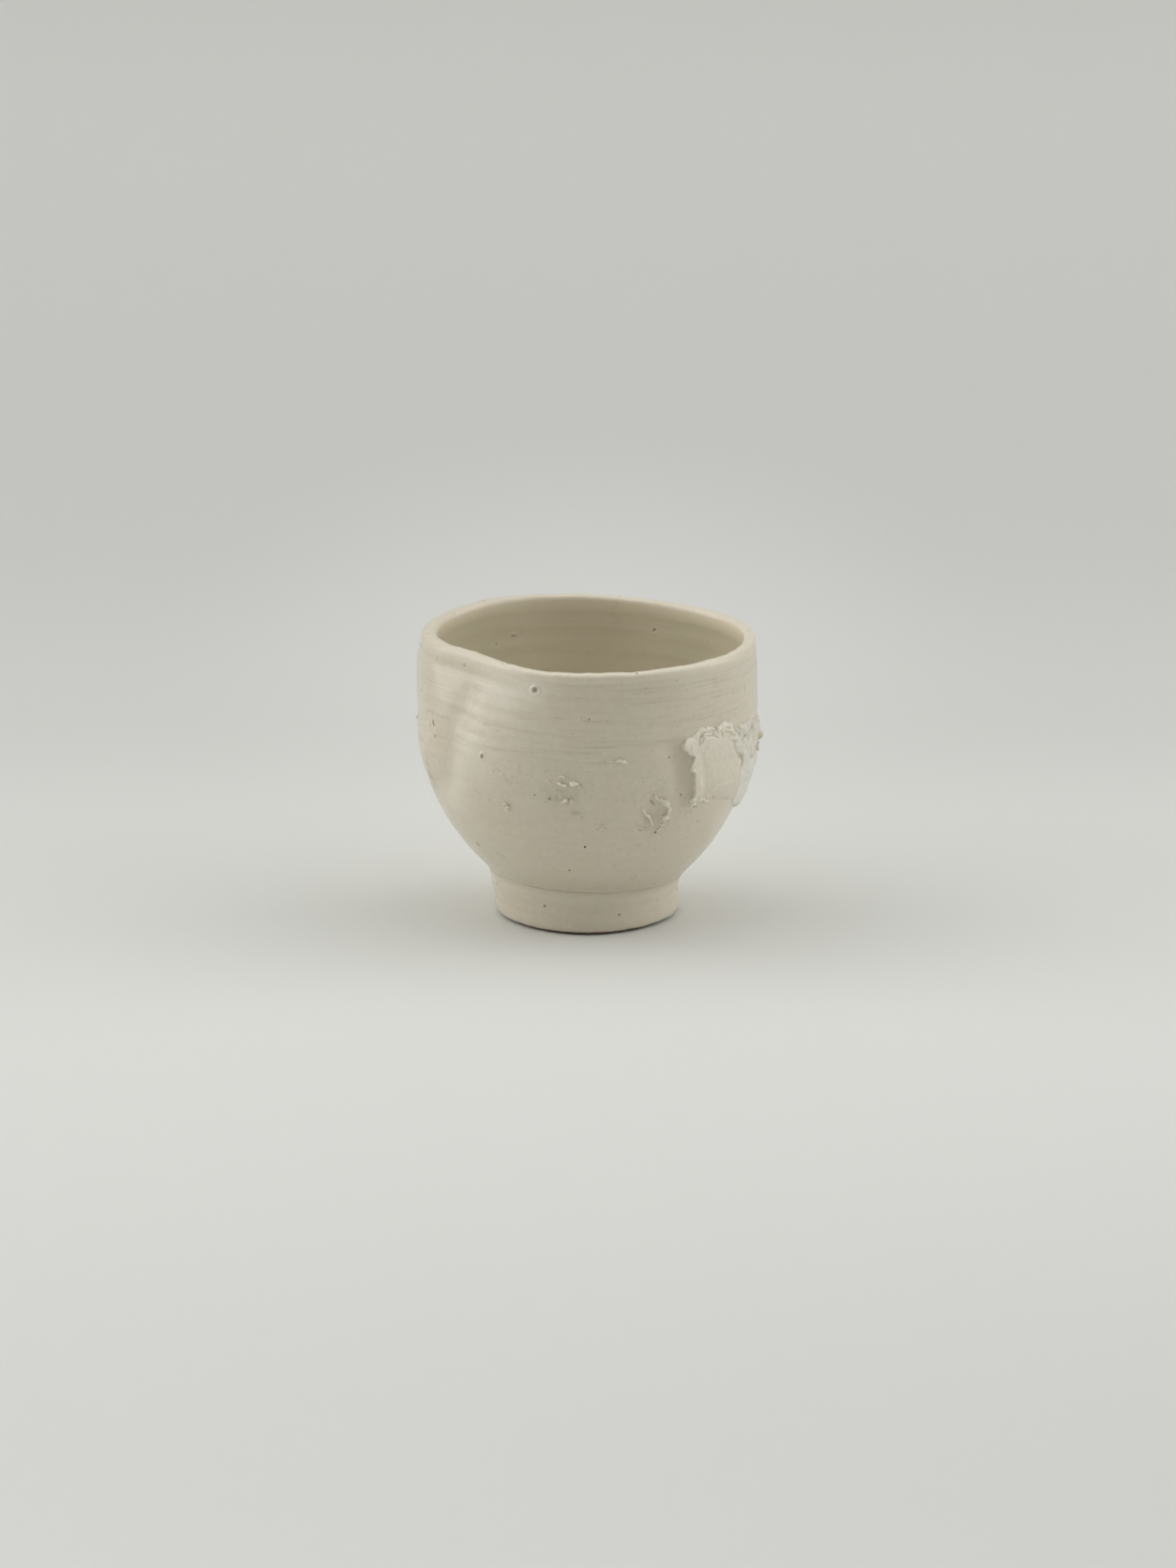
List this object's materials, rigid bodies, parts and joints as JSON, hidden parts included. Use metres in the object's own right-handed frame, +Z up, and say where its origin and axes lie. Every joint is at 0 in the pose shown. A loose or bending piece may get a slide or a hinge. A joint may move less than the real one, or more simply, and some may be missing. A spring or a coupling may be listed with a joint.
{
  "type": "cup",
  "caption": "Small hand-thrown cup without a handle, on a turned foot ring, its wall pressed in at a side and scattered with torn scraps of clay.",
  "frame": {"origin": "on the table, under the middle of the foot ring", "axes": "+Z up, out of the mouth; -Y towards the side that faces the viewer of the picture; +X towards the torn slab's side"},
  "size_m": [0.081, 0.0801, 0.0675],
  "materials": {
    "glazed_wall": "satin",
    "glazed_foot": "satin",
    "glazed_scraps": "satin"
  },
  "bodies": {
    "root": {"bowl": "glazed_wall", "foot_ring": "glazed_foot", "torn_slab": "glazed_scraps", "torn_flap": "glazed_scraps", "slab_curl": "glazed_scraps", "side_lump": "glazed_scraps", "slab_crumbs": "glazed_scraps", "crescent_scrap": "glazed_scraps", "crescent_fold": "glazed_scraps", "front_crumb": "glazed_scraps", "scrap_hook": "glazed_scraps", "scrap_ring": "glazed_scraps", "scrap_low": "glazed_scraps", "left_smear": "glazed_scraps", "small_bead": "glazed_scraps"}
  },
  "joints": []
}
